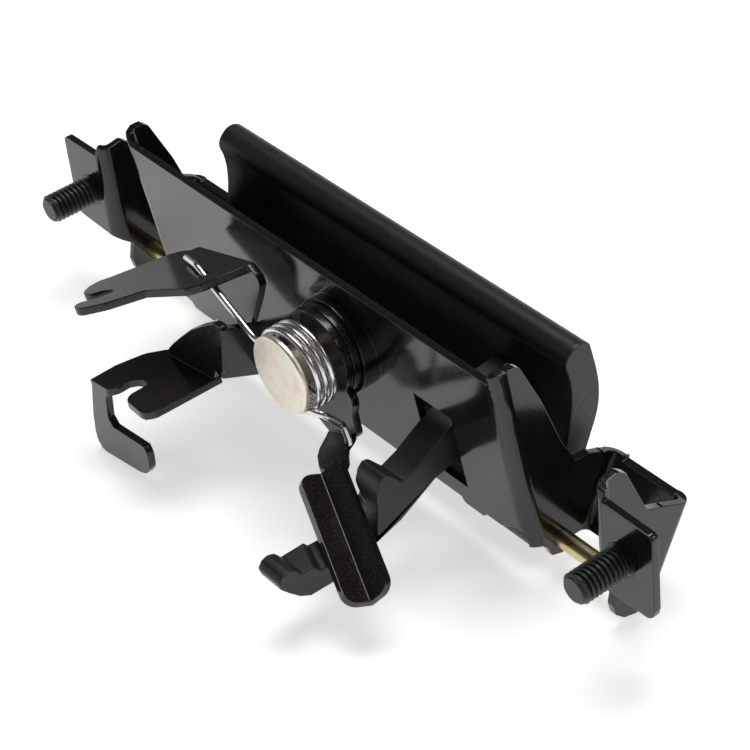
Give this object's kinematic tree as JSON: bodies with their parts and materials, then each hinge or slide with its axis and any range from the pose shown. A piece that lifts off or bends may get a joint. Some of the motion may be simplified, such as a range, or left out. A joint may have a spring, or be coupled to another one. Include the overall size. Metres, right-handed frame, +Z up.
{
  "type": "tailgate handle",
  "caption": "Folded sheet-metal tailgate handle with a moulded pull grip on a hinge rod, latch levers on a sprung rivet, and fixing studs.",
  "frame": {"origin": "midway between the two studs, on the seating face of the stud plates", "axes": "+X along the hinge rod, -Y the way the studs and the rivet point, +Z up as the part lies in the picture"},
  "size_m": [0.1724, 0.0622, 0.049],
  "materials": {
    "bracket": "gloss black",
    "grip": "satin black",
    "lever": "gloss black",
    "rod": "yellow zinc plate",
    "rivet": "zinc plate",
    "spring": "bright drawn wire",
    "stud": "black plated"
  },
  "bodies": {
    "frame": {"bracket": "bracket", "hinge_rod": "rod", "pivot_rivet": "rivet", "stud_left": "stud", "stud_right": "stud"},
    "pull": {"grip": "grip"},
    "hook_lever": {"lever_b": "lever", "torsion_spring": "spring"},
    "shelf_lever": {"lever_a": "lever"}
  },
  "joints": [
    {"name": "grip_hinge", "type": "hinge", "parent": "frame", "child": "pull", "pos_m": [0, 0.008, -0.0155], "axis": [-1, 0, 0], "range_deg": [0, 15]},
    {"name": "hook_pivot", "type": "hinge", "parent": "frame", "child": "hook_lever", "pos_m": [0.0104, -0.01, 0.0106], "axis": [0, -1, 0], "range_deg": [0, 20], "stiffness_Nm_per_rad": 0.12, "springref_deg": -34.38, "deforming": ["torsion_spring"]},
    {"name": "shelf_pivot", "type": "hinge", "parent": "frame", "child": "shelf_lever", "pos_m": [0.0104, -0.007, 0.0106], "axis": [0, -1, 0], "range_deg": [0, 8], "stiffness_Nm_per_rad": 0.06, "springref_deg": -34.38, "deforming": ["torsion_spring"]}
  ],
  "couplings": [
    {"joint": "hook_pivot", "follows": "grip_hinge", "ratio": 1.3}
  ]
}
